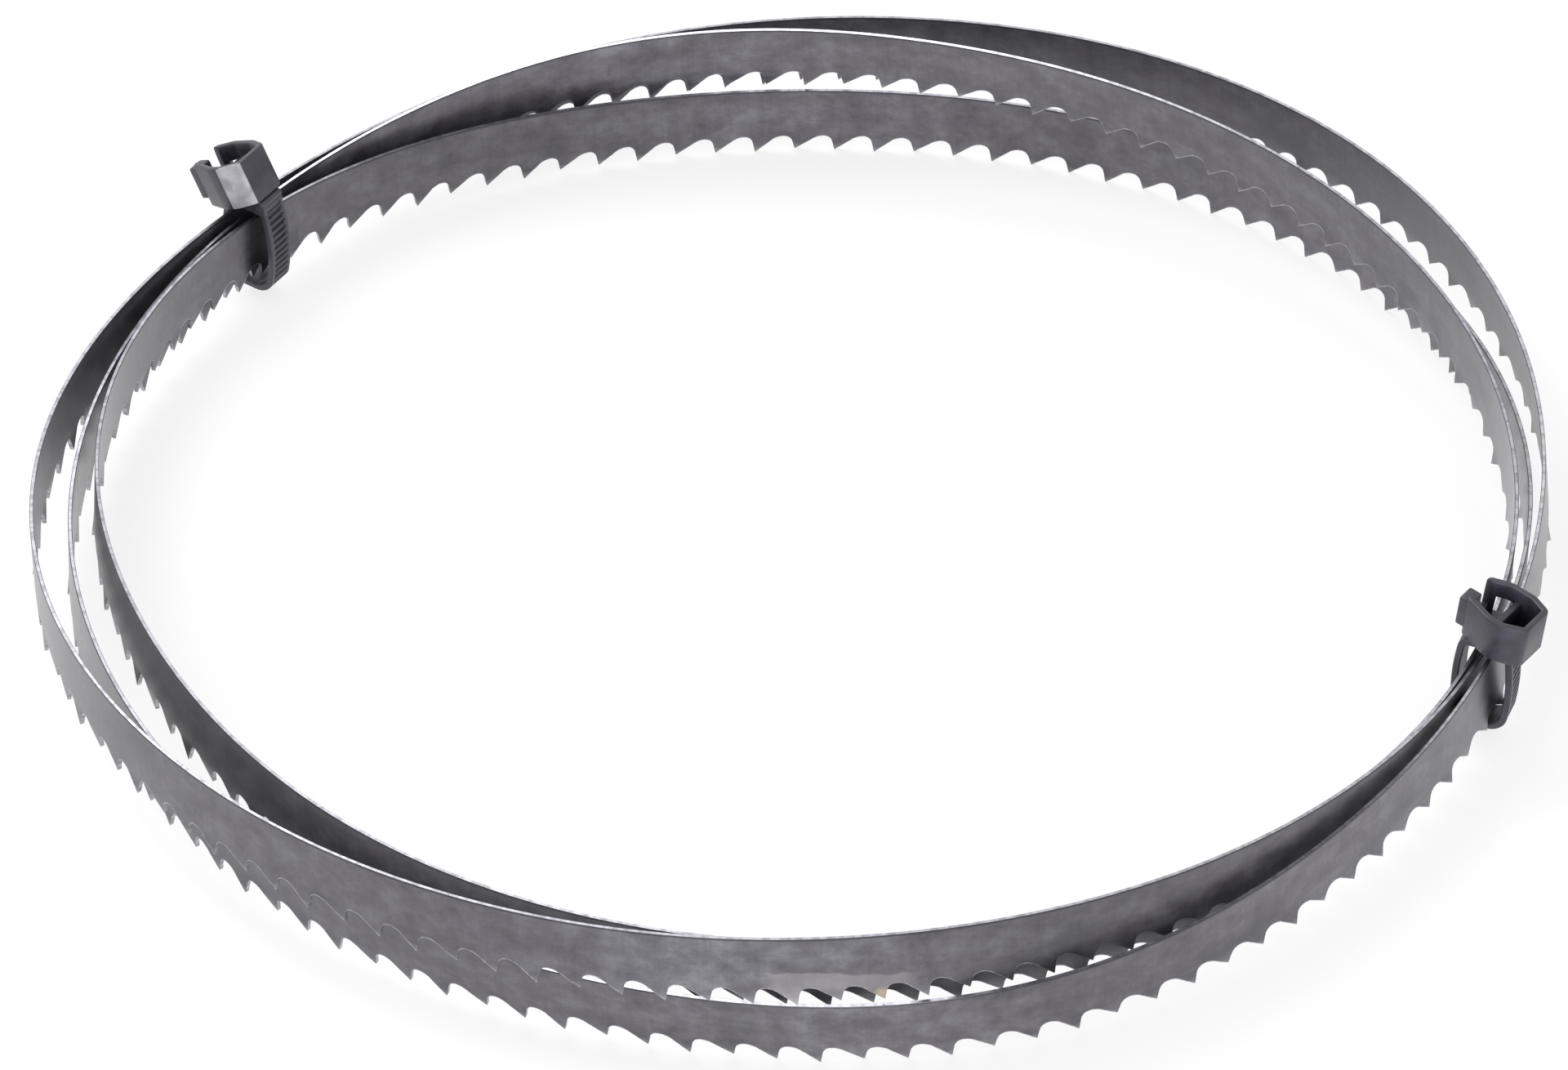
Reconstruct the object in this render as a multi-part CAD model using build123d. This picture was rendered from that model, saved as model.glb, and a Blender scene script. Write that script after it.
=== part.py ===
from build123d import *
import os
from math import cos, degrees, radians, sin, tan
import numpy as np

# A band saw blade for a wood-cutting band saw, stored the usual way: the welded toothed band is
# coiled into three laps, and two moulded nylon cable ties hold the laps together.
# Millimetres, +Z up. The coil lies teeth down. The origin is on the surface that it stands on,
# under the middle of the coil. Angles run counter-clockwise from +X, seen from above.

# Band
BLADE_WIDTH = 12.7          # back edge to tooth tips
BLADE_THICKNESS = 0.64
TOOTH_PITCH = 6.35          # nominal, four teeth to the inch
TOOTH_DEPTH = 3.0           # tip to gullet floor
TOOTH_SET = 0.30            # how far a set tip leans out of the band's face
BACK_SHARE = 0.60           # share of the pitch taken by the sloping tooth back
BACK_RISE = 0.80            # share of the tooth depth that the back climbs
GULLET_AT = 0.80            # where along the pitch the gullet is deepest
RAKE_ROOT_AT = 0.945        # where along the pitch the rake face meets the gullet
RAKE_ROOT_RISE = 0.74       # share of the tooth depth at that root
FACET_AT = 0.14             # where along the pitch one flat of the coil meets the next

# Route of the coil: radius, height of the tooth line and outward lean of the band.
# The band starts at the left tie and runs clockwise, seen from above, three times round.
START_ANGLE = 136.0
LAPS = 3
RADII = [
    109.6, 104.5, 103.9, 109.0, 113.0, 112.1, 110.2, 110.7, 113.8, 116.5, 118.0, 116.0,
    113.3, 115.3, 118.2, 120.1, 117.8, 114.2, 112.3, 112.2, 109.1, 110.1, 111.8, 112.9,
    111.5, 106.9, 101.3, 103.5, 108.9, 110.5, 108.1, 105.5, 104.1, 104.4, 105.7, 110.0,
]
HEIGHTS = [
    3.9, 0.8, 0.1, 0.3, 0.7, 3.5, 7.3, 12.2, 15.6, 15.8, 13.1, 7.8,
    4.3, 3.6, 4.1, 5.3, 6.2, 4.9, 2.9, 0.3, 0.6, 2.1, 2.9, 2.3,
    4.4, 11.0, 13.9, 12.1, 8.0, 4.4, 3.9, 5.3, 7.5, 9.4, 9.8, 7.1,
]
LEANS = [-2, -3, 2, 3, -1, -1, 2, 0, -4, 1, 8, -4, 2, -11, 2, 2, 1, -5]
# How many pitches the teeth stand ahead of an even spacing, at the same places
TOOTH_DRIFT = [
    0.74, 0.64, 0.80, 0.89, 0.72, 0.94, 1.14, 1.36, 1.49, 1.48, 1.47, 1.90,
    2.04, 1.99, 1.86, 1.74, 1.79, 1.68, 1.56, 1.64, 1.83, 1.84, 1.78, 1.65,
    1.51, 1.37, 1.29, 1.21, 0.96, 0.95, 1.02, 1.15, 1.26, 1.32, 1.26, 1.11,
]

# Cable ties
TIE_CLEARANCE = 0.35        # between the bundle and the loop, all round
LOOP_RISE = 0.25            # further room above and below the bundle, for the rounded corners
LOOP_CORNER = 1.2           # inner corner radius of the loop
OUTER_CORNER = 3.0
STRAP_WIDTH = 4.8
STRAP_THICKNESS = 1.1
STRAP_RAIL = 0.75           # smooth rail on each side of the ribbed track
TRACK_DEPTH = 0.45
RIB_PITCH = 1.2
RIB_WIDTH = 0.55
HEAD_LENGTH = 11.0          # along the loop's width
HEAD_DEPTH = 6.2            # along the band, at the ends of the head
HEAD_HEIGHT = 7.6
HEAD_WALL = 1.1
FRONT_BULGE = 2.1           # how far the front wall stands out
BACK_BULGE = 1.3
RIDGE_AT = 0.8              # where along the head the front wall stands out most
HEAD_FLOOR = 1.2            # under the two cavities
HEAD_RIB = 1.1              # between the two cavities
RIB_DROP = 2.0              # how far the rib stays below the rim
HEAD_SEAT = 0.2             # how far the head reaches down past the loop's outer face
WINDOW_HEIGHT = 3.4         # opening in the back wall, next to the thumb tab
TAB_LENGTH = 1.3            # thumb tab past the end of the head, on its front half
TAB_DEPTH = 3.0
TAB_HEIGHT = 5.6
TAB_DROP = 0.7              # how far the tab stays below the rim
NOTCH_DROP = 4.4            # how low the end wall is between the tab and the back wall

# Each tie: angle round the coil, outward lean of its loop, further lean of its head, turn of loop
# and head about the tie's own axis, bow of the loop's long runs away from the bundle, and how far
# loop and head sit outwards
LEFT_TIE = dict(angle=139.6, lean=-1.0, head_lean=27.0, turn=4.0, head_turn=4.0,
                bow=1.1, loop_out=0.0, head_out=1.5)
RIGHT_TIE = dict(angle=-22.0, lean=3.0, head_lean=5.0, turn=0.0, head_turn=-16.0,
                 bow=0.7, loop_out=-0.35, head_out=1.5)


def closed_curve(values):
    """A smooth closed curve through evenly spaced values, as a function of the travel angle."""
    y = np.array(values, dtype=float)
    n = len(y)
    gap = 360.0 * LAPS / n
    rows = 4.0 * np.eye(n) + np.roll(np.eye(n), 1, axis=1) + np.roll(np.eye(n), -1, axis=1)
    bend = np.linalg.solve(rows, 6.0 * (np.roll(y, 1) - 2.0 * y + np.roll(y, -1)) / gap**2)

    def at(travel):
        place = (np.asarray(travel, dtype=float) % (360.0 * LAPS)) / gap
        i = np.floor(place).astype(int) % n
        j = (i + 1) % n
        b = place - np.floor(place)
        a = 1.0 - b
        return a * y[i] + b * y[j] + ((a**3 - a) * bend[i] + (b**3 - b) * bend[j]) * gap**2 / 6.0

    return at


radius_at = closed_curve(RADII)
height_at = closed_curve(HEIGHTS)
lean_at = closed_curve(LEANS)
drift_at = closed_curve(TOOTH_DRIFT)


def band_axes(travel):
    """Middle of the band, its across direction (teeth to back) and its outward face normal."""
    travel = np.asarray(travel, dtype=float)

    def middle(t):
        a = np.radians(START_ANGLE - t)
        r = radius_at(t)
        return np.stack([r * np.cos(a), r * np.sin(a), height_at(t) + BLADE_WIDTH / 2], axis=-1)

    a = np.radians(START_ANGLE - travel)
    lean = np.radians(lean_at(travel))
    across = np.stack([np.sin(lean) * np.cos(a), np.sin(lean) * np.sin(a), np.cos(lean)], axis=-1)
    along = middle(travel + 0.25) - middle(travel - 0.25)
    out = np.cross(across, -along)
    out = -out / np.linalg.norm(out, axis=-1, keepdims=True)
    return middle(travel), across, out


# Length of the route and the travel angle at which each tooth stands
steps = np.linspace(0.0, 360.0 * LAPS, 4320 * LAPS + 1)
path = band_axes(steps)[0]
lengths = np.concatenate([[0.0], np.cumsum(np.linalg.norm(np.diff(path, axis=0), axis=1))])
BAND_LENGTH = float(lengths[-1])
TEETH = 3 * round(BAND_LENGTH / TOOTH_PITCH / 3)
tooth_count = lengths * TEETH / BAND_LENGTH - drift_at(steps)
tooth_travel = np.interp(np.arange(TEETH), tooth_count, steps)


def tooth_outline():
    """Lower edge of one flat, from facet line to facet line: (share of the pitch, height)."""
    back_end = BACK_RISE * TOOTH_DEPTH
    start_height = back_end * FACET_AT / BACK_SHARE
    return [
        (0.0, start_height),
        (BACK_SHARE - FACET_AT, back_end),
        (GULLET_AT - FACET_AT, TOOTH_DEPTH),
        (RAKE_ROOT_AT - FACET_AT, RAKE_ROOT_RISE * TOOTH_DEPTH),
        (1.0 - FACET_AT, 0.0),
        (1.0, start_height),
    ]


def make_band():
    """The toothed band: one flat for each tooth, closed on itself after three laps."""
    outline = tooth_outline()
    root = BACK_RISE * TOOTH_DEPTH
    middle, across, out = band_axes(tooth_travel)
    half = BLADE_THICKNESS / 2

    def point(tooth, share, height, side, lean_out):
        i, j = tooth % TEETH, (tooth + 1) % TEETH
        ends = []
        for k in (i, j):
            ends.append(middle[k] + (height - BLADE_WIDTH / 2) * across[k]
                        + (side * half + lean_out) * out[k])
        return tuple((1 - share) * ends[0] + share * ends[1])

    def set_of(tooth):
        """Raker set: one tooth to each side, then one straight."""
        return TOOTH_SET * (1, -1, 0)[tooth % 3]

    faces = []

    def tri(a, b, c):
        faces.append(Face(Wire.make_polygon([a, b, c])))

    for tooth in range(TEETH):
        rows = []
        for side in (1, -1):
            low = []
            for k, (share, height) in enumerate(outline):
                owner = tooth if k < 3 else tooth + 1
                bent = set_of(owner % TEETH) * max(0.0, 1 - height / root)
                if k == 5:
                    low.append(point(tooth + 1, 0.0, height, side, bent))
                else:
                    low.append(point(tooth, share, height, side, bent))
            top = [point(tooth, 0.0, BLADE_WIDTH, side, 0.0),
                   point(tooth + 1, 0.0, BLADE_WIDTH, side, 0.0)]
            rows.append((low, top))
        for low, top in rows:
            tri(top[0], low[0], low[1])
            tri(top[0], low[1], low[2])
            tri(top[0], low[2], top[1])
            tri(top[1], low[2], low[3])
            tri(top[1], low[3], low[4])
            tri(top[1], low[4], low[5])
        (low_a, top_a), (low_b, top_b) = rows
        tri(top_a[0], top_a[1], top_b[0])
        tri(top_a[1], top_b[1], top_b[0])
        for k in range(5):
            tri(low_a[k], low_b[k], low_a[k + 1])
            tri(low_a[k + 1], low_b[k], low_b[k + 1])
    return Solid(Shell(faces))


def bundle_size(angle, lean, turn):
    """Middle, width and height of what a loop goes round, in the loop's own leaning frame."""
    a = radians(angle)
    outward = np.array([cos(a), sin(a), 0.0])
    up = np.array([0.0, 0.0, 1.0])
    t = radians(lean)
    wide = cos(t) * outward - sin(t) * up
    tall = sin(t) * outward + cos(t) * up
    reach = abs(tan(radians(turn))) * STRAP_WIDTH / 2
    half_span = degrees((STRAP_WIDTH / 2 + reach) / RADII[0])
    spots = []
    for lap in range(LAPS):
        for step in (-half_span, 0.0, half_span):
            mid, across, out = band_axes(START_ANGLE - angle + 360.0 * lap + step)
            for h in (-BLADE_WIDTH / 2, BLADE_WIDTH / 2):
                for side in (-1, 1):
                    spread = BLADE_THICKNESS / 2 + (TOOTH_SET if h < 0 else 0.0)
                    spots.append(mid + h * across + side * spread * out)
    spots = np.array(spots)
    x, z = spots @ wide, spots @ tall
    middle = wide * (x.min() + x.max()) / 2 + tall * (z.min() + z.max()) / 2
    return middle, x.max() - x.min() + 2 * reach, z.max() - z.min()


def barrel(length, depth, inset):
    """Plan of the head: two flat ends and two bulging walls, set in by the wall's thickness."""
    half_l, half_d = length / 2 - inset, depth / 2 - inset
    front = ThreePointArc((-half_l, -half_d), (RIDGE_AT, -half_d - FRONT_BULGE), (half_l, -half_d))
    right = Line((half_l, -half_d), (half_l, half_d))
    back = ThreePointArc((half_l, half_d), (0, half_d + BACK_BULGE), (-half_l, half_d))
    left = Line((-half_l, half_d), (-half_l, -half_d))
    return make_face([front, right, back, left])


def make_head():
    """Head, standing on its underside: open from above, a rib between its cavities, a thumb tab."""
    half_l, half_d = HEAD_LENGTH / 2, HEAD_DEPTH / 2
    inside_l = half_l - HEAD_WALL
    body = extrude(barrel(HEAD_LENGTH, HEAD_DEPTH, 0.0), HEAD_HEIGHT)
    body = fillet(body.edges().filter_by(Axis.Z), 0.9)
    cavity = Pos(0, 0, HEAD_FLOOR) * extrude(barrel(HEAD_LENGTH, HEAD_DEPTH, HEAD_WALL), HEAD_HEIGHT)
    rib_height = HEAD_HEIGHT - RIB_DROP - HEAD_FLOOR
    rib = Pos(0, 0, HEAD_FLOOR + rib_height / 2) * Box(HEAD_RIB, 2 * HEAD_DEPTH, rib_height)
    body -= cavity - rib

    # Opening in the back wall, on the side of the tab
    window_l = inside_l - HEAD_RIB / 2 - 0.6
    window_x = -HEAD_RIB / 2 - 0.3 - window_l / 2
    body -= Pos(window_x, half_d, HEAD_FLOOR + WINDOW_HEIGHT / 2) * Box(
        window_l, 2 * HEAD_WALL + 2 * BACK_BULGE, WINDOW_HEIGHT)

    # Lowered end wall behind the thumb tab
    notch_d = HEAD_DEPTH - 2 * HEAD_WALL
    body -= Pos(-half_l, 0, HEAD_HEIGHT - NOTCH_DROP / 2) * Box(4 * HEAD_WALL, notch_d, NOTCH_DROP)

    # Thumb tab: carries the front wall on past the end of the head
    tab_y = -half_d + TAB_DEPTH / 2
    tab_z = HEAD_HEIGHT - TAB_DROP - TAB_HEIGHT / 2
    tab = Pos(-half_l + HEAD_WALL / 2 - TAB_LENGTH / 2, tab_y, tab_z) * Box(
        TAB_LENGTH + HEAD_WALL, TAB_DEPTH, TAB_HEIGHT)
    tab = fillet(tab.edges().filter_by(Axis.Z).sort_by(Axis.X)[0:2], 0.5)
    return body + tab


def loop_shape(width, height, bow, corner):
    """The loop drawn flat: bowed long runs, straight top and bottom, rounded corners."""
    x, y = width / 2, height / 2
    left_run = ThreePointArc((-x, y), (-x - bow, 0), (-x, -y))
    right_run = ThreePointArc((x, -y), (x + bow, 0), (x, y))
    shape = make_face([left_run, Line((-x, -y), (x, -y)), right_run, Line((x, y), (-x, y))])
    return fillet(shape.vertices(), corner)


def make_tie(angle, lean, head_lean, turn, head_turn, bow, loop_out, head_out, tab_out):
    """One moulded tie: ribbed strap closed to a loop, with its head on the top run."""
    centre, wide, tall = bundle_size(angle, lean, turn)
    inner_w = wide + 2 * TIE_CLEARANCE
    inner_h = tall + 2 * (TIE_CLEARANCE + LOOP_RISE)
    outer_w = inner_w + 2 * STRAP_THICKNESS
    outer_h = inner_h + 2 * STRAP_THICKNESS
    opening = loop_shape(inner_w, inner_h, bow, LOOP_CORNER)
    outside = loop_shape(outer_w, outer_h, bow, OUTER_CORNER)
    loop = extrude(Plane.XZ * (outside - opening), STRAP_WIDTH / 2, both=True)

    # Neck: carries the strap's runs up to the underside of the leaning head
    seat = Pos(head_out - loop_out, 0, outer_h / 2 - HEAD_SEAT) * Rot(0, 0, head_turn - turn)
    seat *= Rot(0, head_lean, 0)
    through = extrude(Plane.XZ * opening, 2 * HEAD_DEPTH, both=True)
    over_loop = Pos(0, 0, outer_h / 2) * Box(outer_w, STRAP_WIDTH, 2 * HEAD_HEIGHT)
    under_head = Pos(0, 0, HEAD_FLOOR / 2 - HEAD_HEIGHT / 2) * Box(HEAD_LENGTH, STRAP_WIDTH, HEAD_HEIGHT)
    loop += (over_loop & (seat * under_head)) - through

    # Recessed track with cross ribs on the two long runs of the strap, up to the head
    track = STRAP_WIDTH - 2 * STRAP_RAIL
    straight = outer_h / 2 - OUTER_CORNER
    neck_rise = (outer_w / 2 + head_out - loop_out) * tan(radians(head_lean)) - HEAD_SEAT
    inner_top = max(straight + 0.7, outer_h / 2 + neck_rise - RIB_PITCH)
    profile = outside + Pos(0, outer_h / 2) * Rectangle(outer_w, 2 * HEAD_HEIGHT)
    skin = extrude(Plane.XZ * (profile - offset(profile, -TRACK_DEPTH)), track / 2, both=True)
    for side, top in ((-1, inner_top), (1, straight + 0.7)):
        run = top + straight + 0.7
        groove = skin & (Pos(side * outer_w / 2, 0, top - run / 2) * Box(outer_w, track, run))
        for k in range(int(run / RIB_PITCH)):
            rib_z = top - (k + 0.75) * RIB_PITCH
            groove -= Pos(side * outer_w / 2, 0, rib_z) * Box(2 * outer_w, track, RIB_WIDTH)
        loop -= groove

    head = seat * (Rot(0, 0, 180.0 if tab_out else 0.0) * make_head()) - through
    head -= Pos(0, 0, -outer_h / 2) * Box(2 * outer_w, 2 * HEAD_DEPTH, outer_h)
    tie = Pos(loop_out, 0, 0) * (head + loop)
    return Pos(*centre) * Rot(0, 0, angle) * Rot(0, lean, 0) * Rot(0, 0, turn) * tie


band = make_band()
left_tie = make_tie(**LEFT_TIE, tab_out=True)
right_tie = make_tie(**RIGHT_TIE, tab_out=False)

# The origin goes to the middle of the coil, on the surface that it stands on
boxes = [piece.bounding_box() for piece in (band, left_tie, right_tie)]
low = [min(getattr(b.min, k) for b in boxes) for k in "XYZ"]
high = [max(getattr(b.max, k) for b in boxes) for k in "XYZ"]
to_origin = Pos(-(low[0] + high[0]) / 2, -(low[1] + high[1]) / 2, -low[2])

os.makedirs("parts", exist_ok=True)
export_step(to_origin * band, "parts/saw_blade.step")
export_step(to_origin * left_tie, "parts/cable_tie_left.step")
export_step(to_origin * right_tie, "parts/cable_tie_right.step")
print("origin", [round(v, 3) for v in to_origin.position], "box", [round(v, 2) for v in low + high])
for name, b in zip(("band", "left", "right"), boxes):
    print(name, "lowest", round(b.min.Z, 2), "highest", round(b.max.Z, 2))
print("band length", round(BAND_LENGTH, 1), "teeth", TEETH, "pitch", round(BAND_LENGTH / TEETH, 3))
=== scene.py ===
from math import cos, radians, sin

import bpy
import numpy as np
from bpy.props import FloatProperty, FloatVectorProperty, IntProperty, PointerProperty
from mathutils import Matrix, Vector


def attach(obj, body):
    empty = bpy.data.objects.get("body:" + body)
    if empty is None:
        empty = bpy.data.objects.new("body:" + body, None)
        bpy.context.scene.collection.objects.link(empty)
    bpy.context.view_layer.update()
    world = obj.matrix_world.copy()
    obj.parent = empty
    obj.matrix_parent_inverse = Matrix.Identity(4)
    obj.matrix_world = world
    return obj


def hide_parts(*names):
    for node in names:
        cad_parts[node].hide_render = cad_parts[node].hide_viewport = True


bl_info = {
    "name": "Coiled band saw blade",
    "version": (1, 0, 0),
    "blender": (4, 5, 0),
    "location": "3D View > Sidebar > Saw blade",
    "description": "Toothed steel band coiled in three laps and held by two moulded ties",
    "category": "Add Mesh",
}

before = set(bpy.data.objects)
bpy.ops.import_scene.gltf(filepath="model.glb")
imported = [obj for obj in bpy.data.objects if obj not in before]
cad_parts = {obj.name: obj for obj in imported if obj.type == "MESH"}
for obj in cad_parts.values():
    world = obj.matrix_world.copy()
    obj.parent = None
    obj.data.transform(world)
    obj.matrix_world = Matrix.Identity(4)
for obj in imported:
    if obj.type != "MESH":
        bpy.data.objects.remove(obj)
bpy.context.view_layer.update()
MM = 0.001

# Route of the band, as in the solid: radius and height of the tooth line in millimetres every 30
# degrees of travel, outward lean in degrees every 60, clockwise from beside the left tie, three times
# round. They are rounded from a fit to the edges and tooth tips traced in the photograph.
START_ANGLE = 136.0
LAPS = 3
RADII = [
    109.6, 104.5, 103.9, 109.0, 113.0, 112.1, 110.2, 110.7, 113.8, 116.5, 118.0, 116.0,
    113.3, 115.3, 118.2, 120.1, 117.8, 114.2, 112.3, 112.2, 109.1, 110.1, 111.8, 112.9,
    111.5, 106.9, 101.3, 103.5, 108.9, 110.5, 108.1, 105.5, 104.1, 104.4, 105.7, 110.0,
]
HEIGHTS = [
    3.9, 0.8, 0.1, 0.3, 0.7, 3.5, 7.3, 12.2, 15.6, 15.8, 13.1, 7.8,
    4.3, 3.6, 4.1, 5.3, 6.2, 4.9, 2.9, 0.3, 0.6, 2.1, 2.9, 2.3,
    4.4, 11.0, 13.9, 12.1, 8.0, 4.4, 3.9, 5.3, 7.5, 9.4, 9.8, 7.1,
]
LEANS = [-2, -3, 2, 3, -1, -1, 2, 0, -4, 1, 8, -4, 2, -11, 2, 2, 1, -5]
# How many pitches the teeth stand ahead of an even spacing, at the same places and from the same fit
TOOTH_DRIFT = [
    0.74, 0.64, 0.80, 0.89, 0.72, 0.94, 1.14, 1.36, 1.49, 1.48, 1.47, 1.90,
    2.04, 1.99, 1.86, 1.74, 1.79, 1.68, 1.56, 1.64, 1.83, 1.84, 1.78, 1.65,
    1.51, 1.37, 1.29, 1.21, 0.96, 0.95, 1.02, 1.15, 1.26, 1.32, 1.26, 1.11,
]
# Point that the radii and heights are measured from, in millimetres
COIL_CENTRE = (0.391, -2.284, -0.053)
# Points along the route at which its length is measured, twelve to a degree
ROUTE_STEPS = 12 * 360 * LAPS + 1

# Details of the band that only the scene has, in millimetres: width of the bright strip beside the
# tooth outline, which is a painted highlight, height from which the rows run level, two of those rows,
# chamfer of the back edge
OUTLINE_HIGHLIGHT_WIDTH, LEVEL_FROM, LEVEL_ROWS, BACK_CHAMFER = 0.15, 3.6, (6.6, 9.8), 0.09
# Share of the tooth depth over which the set bends, and of a pitch past which the next tooth begins
SET_REACH, NEXT_TOOTH_FROM = 0.8, 0.8
# Numbers of the band's materials
FACE, BACK, MILLED_AND_HIGHLIGHT = 0, 1, 2

# Marks, in millimetres along the band and up it: middle and half length of the pale patch taken to
# be the ground weld, and the middle of the straw tint on one tooth in it
WELD_AT, WELD_HALF = 427.5, 10.3
STRAW_AT, STRAW_UP = 421.4, 1.2

# The two moulded ties, in millimetres, as in the solid
CLEARANCE, LOOP_RISE = 0.35, 0.25
STRAP_WIDTH, STRAP_THICKNESS, STRAP_RAIL, TRACK_DEPTH = 4.8, 1.1, 0.75, 0.45
RIB_PITCH, RIB_WIDTH = 1.2, 0.55
HEAD_LENGTH, HEAD_DEPTH, HEAD_HEIGHT, HEAD_WALL = 11.0, 6.2, 7.6, 1.1
FRONT_BULGE, BACK_BULGE, RIDGE_AT = 2.1, 1.3, 0.8
HEAD_FLOOR, HEAD_RIB, RIB_DROP, HEAD_SEAT = 1.2, 1.1, 2.0, 0.2
WINDOW_HEIGHT, NOTCH_DROP = 3.4, 4.4
TAB_LENGTH, TAB_DEPTH, TAB_HEIGHT, TAB_DROP = 1.3, 3.0, 5.6, 0.7
# Angle round the coil, lean of the loop, further lean of the head, turn of loop and head, bow of
# the loop's long runs, how far loop and head sit outwards, and whether the thumb tab points outwards
LEFT_TIE = dict(angle=139.6, lean=-1.0, head_lean=27.0, turn=4.0, head_turn=4.0, bow=1.1, loop_out=0.0,
                head_out=1.5, tab_out=True)
RIGHT_TIE = dict(angle=-22.0, lean=3.0, head_lean=5.0, turn=0.0, head_turn=-16.0, bow=0.7,
                 loop_out=-0.35, head_out=1.5, tab_out=False)

# Radii of the ties' corners in millimetres, which aren't all the solid's: the loop's from the raised
# one down and round, and the head's round from the tab. Then the widths over which the rails, the ribs
# and the notch are eased.
LOOP_RADII = (1.2, 2.2, 2.2, 1.7)
HEAD_RADII = (0.9, 6.0, 1.2, 1.2, 4.0, 4.0, 0.9)
RAIL_EASE, RIB_EASE, NOTCH_EASE = 0.2, 0.22, 0.25

# Smallest angle between two faces, in degrees, at which their shared edge is drawn sharp
SHARP_ANGLE = 35.0


def linear(hex_colour):
    """sRGB hex to linear RGBA."""
    value = [int(hex_colour[k:k + 2], 16) / 255 for k in (1, 3, 5)]
    return tuple(c / 12.92 if c <= 0.04045 else ((c + 0.055) / 1.055) ** 2.4 for c in value) + (1.0,)


class SawBladeSizes(bpy.types.PropertyGroup):
    """Sizes of the band, and the colours of the steel and the nylon."""

    band_width: FloatProperty(
        name="Band width", description="Back edge to tooth tips", default=12.7 * MM,
        unit="LENGTH", subtype="DISTANCE")
    band_thickness: FloatProperty(
        name="Band thickness", description="Thickness of the steel strip", default=0.64 * MM,
        unit="LENGTH", subtype="DISTANCE")
    teeth: IntProperty(name="Teeth", description="Number of teeth on the whole loop", default=330)
    tooth_depth: FloatProperty(
        name="Tooth depth", description="Tip to the rounded gullet floor", default=3.0 * MM,
        unit="LENGTH", subtype="DISTANCE")
    tooth_set: FloatProperty(
        name="Tooth set", description="How far a set tip leans out of the face",
        default=0.30 * MM, unit="LENGTH", subtype="DISTANCE")
    face_colour: FloatVectorProperty(
        name="Steel face", description="Hardened and rolled steel face", subtype="COLOR", size=4,
        default=linear("#726f77"))
    edge_colour: FloatVectorProperty(
        name="Ground edge", description="Ground back edge", subtype="COLOR", size=4,
        default=linear("#bdbcc4"))
    nylon_colour: FloatVectorProperty(
        name="Nylon", description="Moulded black nylon", subtype="COLOR", size=4,
        default=linear("#37343f"))


# Materials


def node(tree, kind, settings=None, **links):
    """Adds a node. Settings are its values, by name or input number; links go to its inputs, by name or
    as i0, i1 and so on."""
    made = tree.nodes.new(kind)
    for key, value in (settings or {}).items():
        if isinstance(key, int) or key in made.inputs:
            made.inputs[key].default_value = value
        else:
            setattr(made, key, value)
    for key, source in links.items():
        slot = int(key[1:]) if key[1:].isdigit() else key.replace("_", " ")
        tree.links.new(source, made.inputs[slot])
    return made


def new_material(name):
    """A material with only its output and a Principled shader."""
    material = bpy.data.materials.new(name)
    material.use_nodes = True
    tree = material.node_tree
    tree.nodes.clear()
    out = tree.nodes.new("ShaderNodeOutputMaterial")
    shader = tree.nodes.new("ShaderNodeBsdfPrincipled")
    tree.links.new(shader.outputs[0], out.inputs[0])
    return material, tree, shader


def stops(ramp, *pairs):
    """Sets a colour ramp's stops from (place, colour) pairs."""
    points = ramp.color_ramp.elements
    while len(points) < len(pairs):
        points.new(1.0)
    for point, (place, colour) in zip(points, pairs):
        point.position = place
        point.color = colour


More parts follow.
